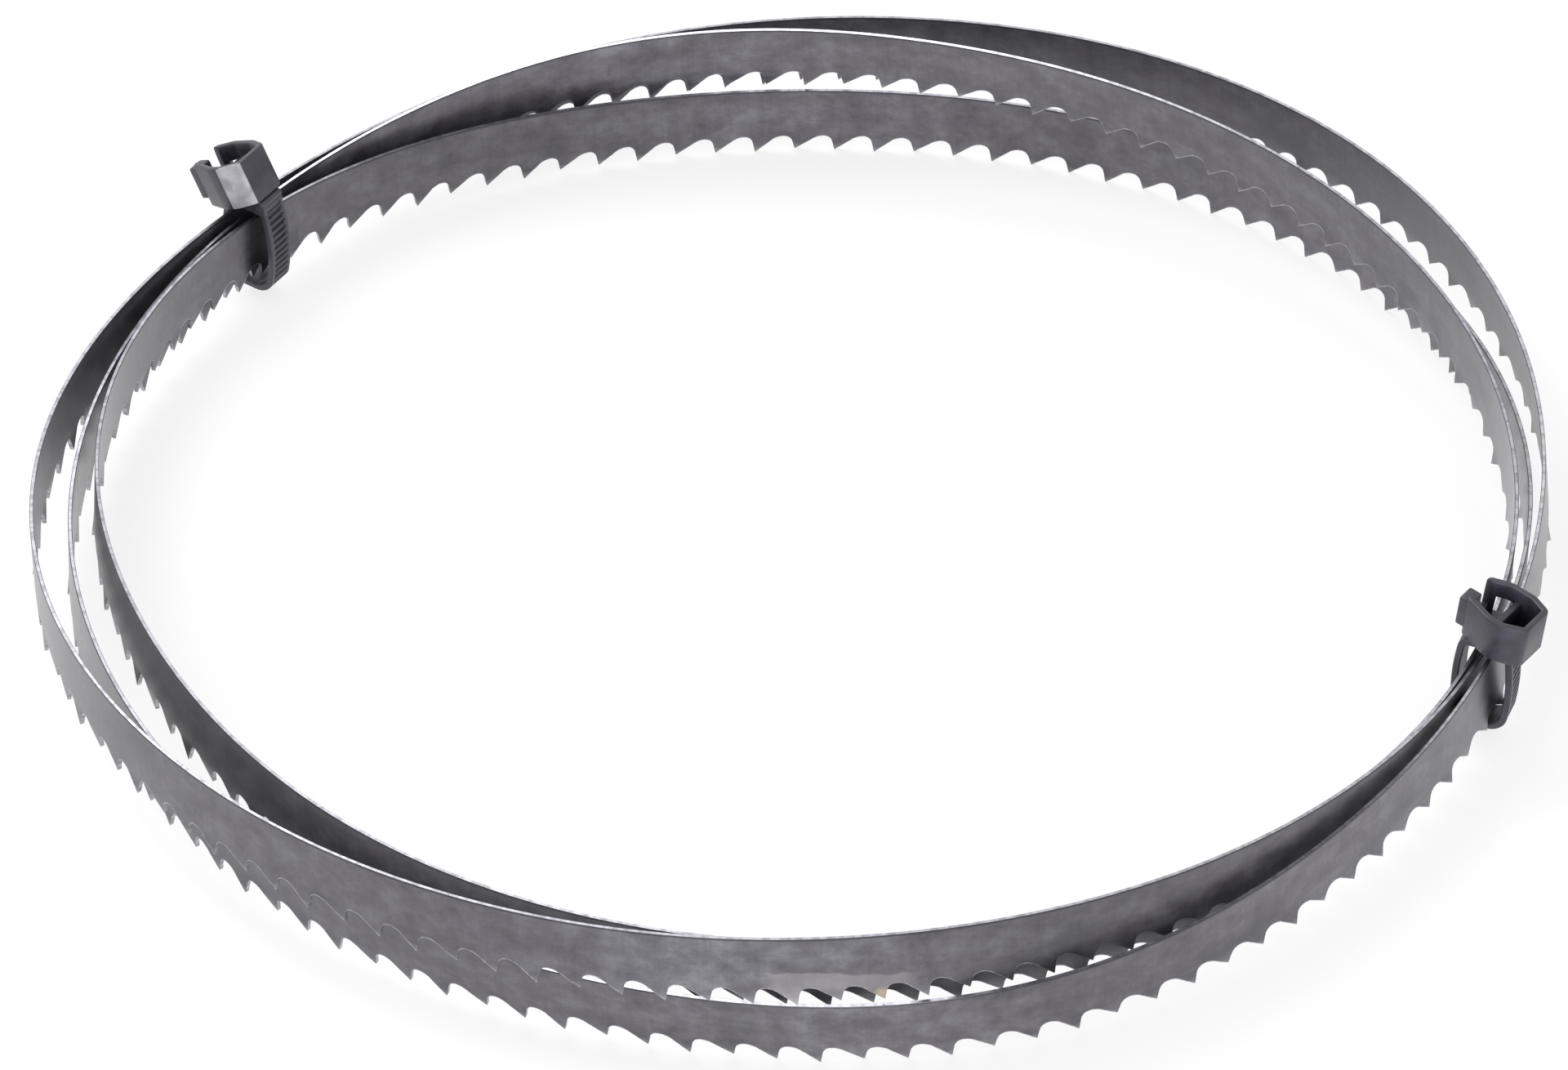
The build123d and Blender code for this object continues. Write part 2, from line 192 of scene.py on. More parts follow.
def rolled_steel(sizes):
    """Hardened, cold-rolled strip: its rolling lines are too fine to show, and spread each highlight up
    and down the band. A mottled oxide lies on it, with smudges, tooth tips paler partly from their ground
    steel and partly from a painted highlight, a pale patch taken to be the ground weld and a line of
    painted shade under the back edge, under a clear coat for the oil film."""
    material, tree, shader = new_material("hardened_rolled_strip_steel")
    place = tree.nodes.new("ShaderNodeUVMap")
    place.uv_map = "band"
    parts = node(tree, "ShaderNodeSeparateXYZ", i0=place.outputs[0])
    along, up = parts.outputs[0], parts.outputs[1]
    maths, mix, reach = "ShaderNodeMath", "ShaderNodeMix", "ShaderNodeMapRange"

    # Noises, in cells to the metre along the band and up it: clouds of 6 mm with grain in them, streaks
    # 0.7 mm wide and 14 mm tall, a drift over 125 mm, smudges 20 mm long, jags 4 mm wide
    fields = {}
    for name, cells, look in (
            ("clouds", (160.0, 190.0, 1.0), {"Detail": 6.0, "Roughness": 0.68}),
            ("streaks", (1500.0, 70.0, 1.0), {"Detail": 3.0, "Roughness": 0.6}),
            ("drift", (8.0, 12.0, 1.0), {"Detail": 1.0}),
            ("smudges", (50.0, 110.0, 1.0), {"Detail": 3.0}),
            ("jags", (260.0, 40.0, 1.0), {})):
        scaled = node(tree, "ShaderNodeMapping", {"Scale": cells}, i0=place.outputs[0])
        noise = node(tree, "ShaderNodeTexNoise", {"Scale": 1.0, **look}, Vector=scaled.outputs[0])
        fields[name] = noise.outputs[0]

    # Oxide: the clouds and a little of the streaks, under a drift nearly the same from edge to edge
    both = node(tree, reach, {"To Max": 0.12}, Value=fields["streaks"])
    both = node(tree, maths, {"operation": "MULTIPLY_ADD", 1: 0.88}, i0=fields["clouds"],
                i2=both.outputs[0])
    ramp = node(tree, "ShaderNodeValToRGB", i0=both.outputs[0])
    stops(ramp, (0.28, linear("#54525a")), (0.5, tuple(sizes.face_colour)), (0.72, linear("#8e8d94")))
    shade = node(tree, reach, {"From Min": 0.35, "From Max": 0.65, "To Min": 0.6, "To Max": 0.86},
                 Value=fields["drift"])
    tone = node(tree, mix, {"data_type": "RGBA", "blend_type": "MULTIPLY", 0: 1.0},
                i6=ramp.outputs[0], i7=shade.outputs[0])

    # Smudges, and the tooth tips, paler up to 1.3 mm, partly from their ground steel and partly a painted
    # highlight
    smudge = node(tree, reach, {"From Min": 0.3, "From Max": 0.44, "To Min": 0.45, "To Max": 0.0},
                  Value=fields["smudges"])
    tips = node(tree, reach, {"From Min": 0.2 * MM, "From Max": 1.3 * MM, "To Min": 0.5, "To Max": 0.0},
                Value=up)

    # Weld: near its middle and below a slanting ragged line
    past = node(tree, maths, {"operation": "SUBTRACT", 1: WELD_AT * MM}, i0=along)
    aside = node(tree, maths, {"operation": "ABSOLUTE"}, i0=past.outputs[0])
    near = node(tree, reach, {"From Min": (WELD_HALF - 0.8) * MM, "From Max": (WELD_HALF + 1.6) * MM,
                              "To Min": 0.5, "To Max": 0.0}, Value=aside.outputs[0])
    slant = node(tree, maths, {"operation": "MULTIPLY_ADD", 1: -0.075}, i0=past.outputs[0], i2=up)
    line = node(tree, maths, {"operation": "MULTIPLY_ADD", 1: 1.8 * MM}, i0=fields["jags"],
                i2=slant.outputs[0])
    below = node(tree, reach, {"From Min": 6.2 * MM, "From Max": 6.6 * MM, "To Min": 1.0, "To Max": 0.0},
                 Value=line.outputs[0])
    weld = node(tree, maths, {"operation": "MULTIPLY"}, i0=near.outputs[0], i1=below.outputs[0])

    # Straw tint around one point of the weld, and a dark line just under the back edge, which is painted
    # shade
    spot = node(tree, "ShaderNodeCombineXYZ", {2: 0.0}, i0=along, i1=up)
    spot = node(tree, "ShaderNodeVectorMath",
                {"operation": "DISTANCE", 1: (STRAW_AT * MM, STRAW_UP * MM, 0.0)}, i0=spot.outputs[0])
    straw = node(tree, reach, {"From Min": 0.4 * MM, "From Max": 1.5 * MM, "To Min": 0.7, "To Max": 0.0},
                 Value=spot.outputs[1])
    edge_shade_line = node(tree, reach, {"From Min": 12.3 * MM, "From Max": 12.5 * MM, "To Min": 0.0,
                               "To Max": 0.7}, Value=up)

    # Each mark's colour lies over the ones before it, as far as its share says
    for share, colour in ((smudge, "#3d3c40"), (tips, "#9b9a9f"), (weld, "#8f8d90"),
                          (straw, "#bba58c"), (edge_shade_line, "#29282b")):
        tone = node(tree, mix, {"data_type": "RGBA", 7: linear(colour)}, i0=share.outputs[0],
                    i6=tone.outputs[2])
    tree.links.new(tone.outputs[2], shader.inputs["Base Color"])

    shine = node(tree, reach, {"From Min": 0.3, "From Max": 0.7, "To Min": 0.30, "To Max": 0.44},
                 Value=fields["clouds"])
    tree.links.new(shine.outputs[0], shader.inputs["Roughness"])
    for name, value in (("Metallic", 0.9), ("Anisotropic", 0.8), ("Anisotropic Rotation", 0.25),
                        ("Coat Weight", 0.6), ("Coat Roughness", 0.25)):
        shader.inputs[name].default_value = value
    around = node(tree, "ShaderNodeTangent", {"direction_type": "RADIAL", "axis": "Z"})
    tree.links.new(around.outputs[0], shader.inputs["Tangent"])
    bump = node(tree, "ShaderNodeBump", {"Strength": 0.07, "Distance": 0.03 * MM},
                Height=fields["streaks"])
    tree.links.new(bump.outputs[0], shader.inputs["Normal"])
    return material


def ground_back(sizes):
    """Back edge, ground bright. Grinding lines are too fine to show, so its mottling is 1.1 mm."""
    material, tree, shader = new_material("ground_back_edge_steel")
    place = tree.nodes.new("ShaderNodeUVMap")
    place.uv_map = "band"
    fine = node(tree, "ShaderNodeTexNoise", {"Scale": 900.0, "Detail": 2.0}, Vector=place.outputs[0])
    tone = node(tree, "ShaderNodeValToRGB", Fac=fine.outputs[0])
    stops(tone, (0.35, linear("#9897a0")), (0.6, tuple(sizes.edge_colour)))
    tree.links.new(tone.outputs[0], shader.inputs["Base Color"])
    shader.inputs["Metallic"].default_value = 1.0
    shader.inputs["Roughness"].default_value = 0.28
    return material


def milled_teeth_and_highlight():
    """Gullets and rake faces, milled and left bright, and the strip beside them on both faces, where the
    same bright colour is a painted highlight along the tooth outline. Cutter marks are too fine to show,
    so their mottling is 0.7 mm."""
    material, tree, shader = new_material("milled_steel_and_painted_highlight")
    place = tree.nodes.new("ShaderNodeUVMap")
    place.uv_map = "band"
    fine = node(tree, "ShaderNodeTexNoise", {"Scale": 1500.0, "Detail": 2.0}, Vector=place.outputs[0])
    tone = node(tree, "ShaderNodeValToRGB", Fac=fine.outputs[0])
    stops(tone, (0.35, linear("#8a898e")), (0.65, linear("#b8b7bc")))
    tree.links.new(tone.outputs[0], shader.inputs["Base Color"])
    shader.inputs["Metallic"].default_value = 0.95
    shader.inputs["Roughness"].default_value = 0.36
    return material


def moulded_nylon(sizes):
    """Injection-moulded black nylon 6.6: faint flow mottling of 3 mm, a moulded grain of 0.2 mm and a
    soft, slightly waxy sheen."""
    material, tree, shader = new_material("moulded_black_nylon")
    place = tree.nodes.new("ShaderNodeTexCoord")
    cloud = node(tree, "ShaderNodeTexNoise", {"Scale": 320.0, "Detail": 3.0},
                 Vector=place.outputs["Object"])
    tone = node(tree, "ShaderNodeValToRGB", Fac=cloud.outputs[0])
    stops(tone, (0.35, linear("#2b2831")), (0.65, tuple(sizes.nylon_colour)))
    tree.links.new(tone.outputs[0], shader.inputs["Base Color"])
    shine = node(tree, "ShaderNodeMapRange",
                 {"From Min": 0.3, "From Max": 0.7, "To Min": 0.30, "To Max": 0.42}, Value=cloud.outputs[0])
    tree.links.new(shine.outputs[0], shader.inputs["Roughness"])
    shader.inputs["IOR"].default_value = 1.53
    grain = node(tree, "ShaderNodeTexNoise", {"Scale": 5000.0, "Detail": 1.0},
                 Vector=place.outputs["Object"])
    bump = node(tree, "ShaderNodeBump", {"Strength": 0.15, "Distance": 0.04 * MM},
                Height=grain.outputs[0])
    tree.links.new(bump.outputs[0], shader.inputs["Normal"])
    return material


def painted_highlight_nylon():
    """The same nylon on the one flat of the left tie's front wall, greyer and duller, in soft patches;
    its paleness there is a painted highlight. The same nylon on the one flat that is pale in the
    photograph, guessed to be rubbed by handling: greyer and duller, in soft patches."""
    material, tree, shader = new_material("black_nylon_painted_highlight")
    place = tree.nodes.new("ShaderNodeTexCoord")
    cloud = node(tree, "ShaderNodeTexNoise", {"Scale": 420.0, "Detail": 4.0},
                 Vector=place.outputs["Object"])
    tone = node(tree, "ShaderNodeValToRGB", i0=cloud.outputs[0])
    stops(tone, (0.35, linear("#7f7e84")), (0.65, linear("#9f9ea4")))
    tree.links.new(tone.outputs[0], shader.inputs["Base Color"])
    shader.inputs["Roughness"].default_value = 0.46
    shader.inputs["IOR"].default_value = 1.53
    return material


# Shapes


def closed_curve(values):
    """Periodic cubic spline through evenly spaced values, as a function of the travel angle."""
    y = np.array(values, dtype=float)
    n = len(y)
    gap = 360.0 * LAPS / n
    rows = 4.0 * np.eye(n) + np.roll(np.eye(n), 1, axis=1) + np.roll(np.eye(n), -1, axis=1)
    bend = np.linalg.solve(rows, 6.0 * (np.roll(y, 1) - 2.0 * y + np.roll(y, -1)) / gap**2)

    def at(travel):
        place = (np.asarray(travel, dtype=float) % (360.0 * LAPS)) / gap
        i = np.floor(place).astype(int) % n
        j = (i + 1) % n
        b = place - np.floor(place)
        a = 1.0 - b
        return a * y[i] + b * y[j] + ((a**3 - a) * bend[i] + (b**3 - b) * bend[j]) * gap**2 / 6.0

    return at


radius_at = closed_curve(RADII)
height_at = closed_curve(HEIGHTS)
lean_at = closed_curve(LEANS)
drift_at = closed_curve(TOOTH_DRIFT)


def band_axes(travel, width):
    """Middle of the band, its across direction and its outward normal, in metres."""
    def middle(t):
        a = np.radians(START_ANGLE - t)
        r = radius_at(t)
        place = np.stack([r * np.cos(a), r * np.sin(a), height_at(t)], axis=-1)
        return (place + np.array(COIL_CENTRE)) * MM + np.array([0.0, 0.0, width / 2])

    a = np.radians(START_ANGLE - travel)
    lean = np.radians(lean_at(travel))
    across = np.stack([np.sin(lean) * np.cos(a), np.sin(lean) * np.sin(a), np.cos(lean)], axis=-1)
    along = middle(travel + 0.25) - middle(travel - 0.25)
    out = np.cross(along, across)
    out /= np.linalg.norm(out, axis=-1, keepdims=True)
    return middle(travel), across, out


def tooth_profile(depth):
    """Lower edge over one pitch, tip to tip: a straight back, a Bezier gullet, an upright rake face."""
    slope = 1.70 * depth
    back = np.array([0.0, 0.05, 0.18, 0.3, 0.4])
    t = np.linspace(0.0, 1.0, 9)[1:]
    points = np.array([(0.4, 0.4 * slope), (0.56, 1.04 * depth), (0.93, 1.24 * depth),
                       (0.957, 0.5 * depth)])
    weight = np.stack([(1 - t)**3, 3 * (1 - t)**2 * t, 3 * (1 - t) * t**2, t**3], axis=-1)
    gullet = weight @ points
    share = np.concatenate([back, gullet[:, 0], [0.985]])
    height = np.concatenate([back * slope, gullet[:, 1], [0.12 * depth]])
    return share, height


def band_surface(sizes):
    """The whole band: at each column along the route a closed ring of 18 points goes up the outer
    face from the tooth outline, over the back edge and down the inner face; a bright strip in the
    milled steel's colour follows the outline on both faces, a painted highlight."""
    width, half = sizes.band_width, sizes.band_thickness / 2
    teeth = sizes.teeth
    share, low = tooth_profile(sizes.tooth_depth)

    # Travel angle and length along the route at each column, from the teeth's even count and drift
    steps = np.linspace(0.0, 360.0 * LAPS, ROUTE_STEPS)
    path = band_axes(steps, width)[0]
    length = np.concatenate([[0.0], np.cumsum(np.linalg.norm(np.diff(path, axis=0), axis=1))])
    total = length[-1]
    count = length * teeth / total - drift_at(steps)
    number = np.repeat(np.arange(teeth), len(share))
    part_of_pitch = np.tile(share, teeth)
    step_of = (number + part_of_pitch - count[0]) % teeth + count[0]
    travel = np.interp(step_of, count, steps)
    where = np.interp(travel, steps, length)

    # Heights of the nine rows of one face, and how far each stands from the middle
    start = np.tile(low, teeth)
    rows = [start, start + OUTLINE_HIGHLIGHT_WIDTH * MM]
    rows += [start + (LEVEL_FROM * MM - start) * part for part in (0.35, 0.7, 1.0)]
    levels = [level * MM for level in LEVEL_ROWS] + [width - BACK_CHAMFER * MM, width]
    rows += [np.full_like(start, level) for level in levels]
    thick = [half] * (len(rows) - 1) + [half - BACK_CHAMFER * MM]

    # The ring: up the outer face and down the inner one, bent sideways by the set near the outline
    middle, across, out = band_axes(travel, width)
    owner = (number + (part_of_pitch > NEXT_TOOTH_FROM)) % teeth
    lean = sizes.tooth_set * np.array([1.0, -1.0, 0.0])[owner % 3]
    upward = range(len(rows))
    ring, heights = [], []
    for side, order in ((1, upward), (-1, reversed(upward))):
        for k in order:
            bent = lean * np.clip(1.0 - rows[k] / (SET_REACH * sizes.tooth_depth), 0.0, 1.0)
            ring.append(middle + (rows[k] - width / 2)[:, None] * across
                        + (side * thick[k] + bent)[:, None] * out)
            heights.append(rows[k])
    points = np.stack(ring, axis=1)
    columns, around = points.shape[:2]
    quads = grid_quads(columns, around)
    kind = np.full(around, FACE)
    kind[len(rows) - 1] = BACK
    # Milled steel on the edge across the thickness; on the strips beside the outline its bright colour is a
    # painted highlight
    kind[[0, -2, -1]] = MILLED_AND_HIGHLIGHT

    # The map: length along the route, which runs on past its end in the last column, and height
    u_next = np.roll(where, -1)
    u_next = np.where(u_next < where, u_next + total, u_next)
    v = np.stack(heights, axis=1)
    v_next = np.roll(v, -1, axis=0)
    uv = np.empty((columns, around, 4, 2))
    uv[..., 0, 0] = uv[..., 3, 0] = where[:, None]
    uv[..., 1, 0] = uv[..., 2, 0] = u_next[:, None]
    uv[..., 0, 1] = v
    uv[..., 1, 1] = v_next
    uv[..., 2, 1] = np.roll(v_next, -1, axis=1)
    uv[..., 3, 1] = np.roll(v, -1, axis=1)
    return points.reshape(-1, 3), quads, np.tile(kind, columns), uv.reshape(-1, 2)


def turned(axis, degrees):
    """Rotation matrix about one axis."""
    return np.array(Matrix.Rotation(radians(degrees), 3, axis))


def bundle_size(sizes, angle, lean, turn):
    """Middle, width and height in millimetres of what a loop goes round, in its own leaning frame,
    from the corners of the band's section at three places on each lap."""
    a, t = radians(angle), radians(lean)
    away, up = np.array([cos(a), sin(a), 0.0]), np.array([0.0, 0.0, 1.0])
    wide, tall = cos(t) * away - sin(t) * up, sin(t) * away + cos(t) * up
    reach = abs(np.tan(radians(turn))) * STRAP_WIDTH / 2
    half_span = np.degrees((STRAP_WIDTH / 2 + reach) / RADII[0])
    step, lap = np.meshgrid([-half_span, 0.0, half_span], range(LAPS))
    travel = (START_ANGLE - angle + 360.0 * lap + step).ravel()
    mid, across, out = band_axes(travel, sizes.band_width)
    width, half = sizes.band_width / MM, sizes.band_thickness / MM / 2
    spots = [mid / MM + end * width / 2 * across + side * spread * out
             for end, spread in ((-1, half + sizes.tooth_set / MM), (1, half)) for side in (-1, 1)]
    x, z = np.concatenate(spots) @ wide, np.concatenate(spots) @ tall
    along = np.array([-sin(a), cos(a), 0.0])
    middle = (wide * (x.min() + x.max()) + tall * (z.min() + z.max())) / 2
    return middle + along * (along @ COIL_CENTRE), np.ptp(x) + 2 * reach, np.ptp(z)


def rounded_path(corners, radii, spacing):
    """Closed polygon with each corner replaced by an arc of its own radius, resampled evenly. The arc
    is a rational quadratic Bezier curve over the corner, drawn with 13 points."""
    corners = np.array(corners, dtype=float)
    before = np.roll(corners, 1, axis=0) - corners
    after = np.roll(corners, -1, axis=0) - corners
    before /= np.linalg.norm(before, axis=1, keepdims=True)
    after /= np.linalg.norm(after, axis=1, keepdims=True)
    half = np.arccos(np.clip((before * after).sum(axis=1), -1, 1)) / 2
    radii = np.array(radii, dtype=float)
    reach = (radii / np.tan(half))[:, None, None]
    t = np.linspace(0.0, 1.0, 13)[None, :, None]
    start = corners[:, None] + before[:, None] * reach
    end = corners[:, None] + after[:, None] * reach
    weight = np.sin(half)[:, None, None]
    bottom = (1 - t) ** 2 + 2 * weight * t * (1 - t) + t**2
    arcs = ((1 - t) ** 2 * start + 2 * weight * t * (1 - t) * corners[:, None] + t**2 * end) / bottom
    line = arcs.reshape(-1, 2)
    line = np.concatenate([line, line[:1]])
    run = np.concatenate([[0.0], np.cumsum(np.linalg.norm(np.diff(line, axis=0), axis=1))])
    count = 2 * int(run[-1] / spacing / 2)
    at = np.arange(count) * run[-1] / count
    return np.stack([np.interp(at, run, line[:, k]) for k in (0, 1)], axis=1)


def outward(points):
    """Unit normals that point out of a closed path drawn counter-clockwise."""
    along = np.roll(points, -1, axis=0) - np.roll(points, 1, axis=0)
    along /= np.linalg.norm(along, axis=1, keepdims=True)
    return np.stack([along[:, 1], -along[:, 0]], axis=1)


def grid_quads(rows, columns, closed=True):
    """Quads of a grid of points that closes on itself along its rows, and across them if asked."""
    i = np.arange(rows)[:, None]
    j = np.arange(columns if closed else columns - 1)[None, :]
    i2, j2 = (i + 1) % rows, (j + 1) % columns
    return np.stack(np.broadcast_arrays(
        i * columns + j, i2 * columns + j, i2 * columns + j2, i * columns + j2), axis=-1).reshape(-1, 4)


def step_up(value, edge, soft):
    """0 below the edge and 1 above it, eased over a soft width."""
    t = np.clip((value - edge) / soft + 0.5, 0.0, 1.0)
    return t * t * (3 - 2 * t)


def ribbed_strap(inner_w, inner_h, inner_rise, bow):
    """Strap carried round the loop, whose long runs bow out by the bow times one less the square of
    the share of the height: a flat section with rounded edges, its outer face sunk between two
    rails, with cross ribs left on the two long runs."""
    a, b = (inner_w + STRAP_THICKNESS) / 2, (inner_h + STRAP_THICKNESS) / 2
    path = rounded_path([(-a, b + inner_rise), (-a, -b), (a, -b), (a, b)], LOOP_RADII, 0.1)
    path[:, 0] *= 1 + bow / a * np.clip(1 - (path[:, 1] / b) ** 2, 0, 1)
    out = outward(path)

    # Section: y across the strap and rise out of its middle, round from one side of the outer face
    half_w, half_t = STRAP_WIDTH / 2, STRAP_THICKNESS / 2
    soft, flank = 0.18, 0.09
    track = half_w - STRAP_RAIL
    face = np.array([half_w - soft, track + flank, track, track - flank, track - 0.5, 0.6])
    y_out = np.concatenate([face, -face[::-1]])
    y = np.concatenate([[half_w], y_out, [-half_w, -half_w, -half_w + soft, 0.0, half_w - soft, half_w]])
    rise = np.concatenate([[half_t - soft], np.full(len(y_out), half_t), [half_t - soft, -half_t + soft],
                           [-half_t] * 3, [-half_t + soft]])
    outer = (rise >= half_t) * step_up(track - np.abs(y), 0.0, RAIL_EASE)

    # Ribs: kept this far from the foot and from the upper ends of the two long runs
    foot, raised_end, plain_end = 2.0, 1.4, 1.8
    z = path[:, 1]
    end = np.where(path[:, 0] < 0, b + inner_rise - raised_end, b - plain_end)
    long_run = step_up(z, -b + foot, 0.6) * (1 - step_up(z, end, 0.4))
    long_run = long_run * (np.abs(out[:, 0]) > 0.9)
    phase = np.abs((z / RIB_PITCH) % 1.0 - 0.5) * RIB_PITCH
    rib = 1 - step_up(phase, RIB_WIDTH / 2, RIB_EASE)
    sunk = TRACK_DEPTH * outer[None, :] * (long_run * (1 - rib))[:, None]
    offset = rise[None, :] - sunk
    flat = path[:, None, :] + out[:, None, :] * offset[..., None]
    points = np.stack([flat[..., 0], np.broadcast_to(y, flat.shape[:2]), flat[..., 1]], axis=-1)
    return points.reshape(-1, 3), grid_quads(len(path), len(y))


def head_plan(inset):
    """Plan of the head: a front wall of two flats that meet in a soft ridge, a bowed back wall and
    two ends; counter-clockwise, with rounded corners."""
    half_l, half_d, crown = HEAD_LENGTH / 2 - inset, HEAD_DEPTH / 2 - inset, 2.2
    front, back = -half_d - FRONT_BULGE, half_d + BACK_BULGE
    corners = [(-half_l, -half_d), (RIDGE_AT, front), (half_l, -half_d), (half_l, half_d),
               (crown, back), (-crown, back), (-half_l, half_d)]
    return rounded_path(corners, HEAD_RADII, 0.12)


def wall_ring(low, high):
    """Section of a wall as (inset, level share, level shift): up the outside, over a rounded rim,
    down the inside."""
    soft, nick, wall = 0.26, 0.08, HEAD_WALL
    section = np.array([
        (soft, 0, 0), (nick, 0, nick), (0, 0, soft), (0, 0.5, 0), (0, 1, -soft), (nick, 1, -nick),
        (soft, 1, 0), (wall - soft, 1, 0), (wall - nick, 1, -nick), (wall, 1, -soft), (wall, 0.5, 0),
        (wall, 0, soft), (wall - nick, 0, nick), (wall - soft, 0, 0)])
    level = low[:, None] * (1 - section[:, 1]) + high[:, None] * section[:, 1] + section[:, 2]
    return section[:, 0], level


def head_walls():
    """Wall carried round the plan; its rim drops to a notch behind the tab, and its foot rises over
    the opening in the back wall."""
    plan = head_plan(0.0)
    out = outward(plan)
    half_l, half_d = HEAD_LENGTH / 2, HEAD_DEPTH / 2
    x, y = plan[:, 0], plan[:, 1]

    # The notch is in the end wall, clear of its two corners
    in_end, past_front, past_back = half_l - 1.3, -half_d + 1.1, half_d - 0.9
    notch = step_up(-x, in_end, NOTCH_EASE) * step_up(y, past_front, NOTCH_EASE)
    notch = notch * (1 - step_up(y, past_back, NOTCH_EASE))

    # The opening is in the back wall, from the end wall to the rib
    margin, ease = 0.3, 0.15
    window = step_up(y, half_d - 0.5, 0.1) * step_up(x, -half_l + HEAD_WALL + margin, ease)
    window = window * (1 - step_up(x, -HEAD_RIB / 2 - margin, ease))
    inset, level = wall_ring((HEAD_FLOOR + WINDOW_HEIGHT) * window, HEAD_HEIGHT - NOTCH_DROP * notch)
    flat = plan[:, None, :] - out[:, None, :] * inset[None, :, None]
    points = np.concatenate([flat, level[..., None]], axis=-1)
    return points.reshape(-1, 3), grid_quads(len(plan), len(inset))


def plate(plan, low, high, soft):
    """Flat plate over a plan, with its edges rounded to a quarter circle above and below; each face is
    filled with strips that run from one side of the plan to the other."""
    angle = np.radians([0.0, 30.0, 60.0, 90.0])
    inset, climb = soft * (1 - np.sin(angle)), soft * (1 - np.cos(angle))
    inset = np.concatenate([inset, inset[::-1]])
    level = np.concatenate([low + climb, high - climb[::-1]])
    flat = plan[:, None, :] - outward(plan)[:, None, :] * inset[None, :, None]
    points = np.concatenate([flat, np.broadcast_to(level, flat.shape[:2])[..., None]], axis=-1)
    n, rings = len(plan), len(level)
    k = np.arange(n // 2 - 1)
    face = np.stack([k, k + 1, n - 2 - k, n - 1 - k], axis=-1) * rings
    quads = np.concatenate([grid_quads(n, rings, closed=False), face[:, ::-1], face + rings - 1])
    return points.reshape(-1, 3), quads


def neck(outer_w, inner_h, rise):
    """Wedge that fills the gap between the loop's opening and the leaning head."""
    x, low = outer_w / 2 - 0.15, inner_h / 2
    high, side = low + 0.6, STRAP_WIDTH / 2 - 0.05
    outline = rounded_path([(-x, low), (x, low), (x, high), (-x, high + rise)], [0.3, 0.3, 0.3, 0.5], 0.15)
    points, quads = plate(outline, -side, side, 0.15)
    return points[:, [0, 2, 1]], quads[:, ::-1]


def soft_block(low, high, soft):
    """Block with rounded edges: each point of a box's grid is pulled to the nearest point of the box
    less its edge radius and pushed out from there by that radius; shared points are merged. On
    each face the grid has lines at 0, 0.42 and 1 radius from its edges."""
    low, high = np.array(low, dtype=float), np.array(high, dtype=float)
    middle, half = (low + high) / 2, (high - low) / 2
    cut = soft * np.array([0.0, 0.42, 1.0])
    lines = [np.concatenate([cut - reach, reach - cut[::-1]]) for reach in half]
    n = len(lines[0])
    i, j = np.meshgrid(np.arange(n - 1), np.arange(n - 1), indexing="ij")
    corner = i * n + j
    quad = np.stack([corner, corner + n, corner + n + 1, corner + 1], axis=-1).reshape(-1, 4)
    sides, quads = [], []
    for axis in range(3):
        u, v = np.meshgrid(lines[(axis + 1) % 3], lines[(axis + 2) % 3], indexing="ij")
        for sign in (-1, 1):
            side = np.stack([np.full_like(u, sign * half[axis]), u, v], axis=-1).reshape(-1, 3)
            quads.append((quad if sign > 0 else quad[:, ::-1]) + n * n * len(sides))
            sides.append(np.roll(side, axis, axis=1))
    box = np.concatenate(sides)
    core = np.clip(box, soft - half, half - soft)
    points = core + soft * (box - core) / np.linalg.norm(box - core, axis=1, keepdims=True)
    _, first, index = np.unique(np.round(points, 5), axis=0, return_index=True, return_inverse=True)
    return middle + points[first], index.reshape(-1)[np.concatenate(quads)]


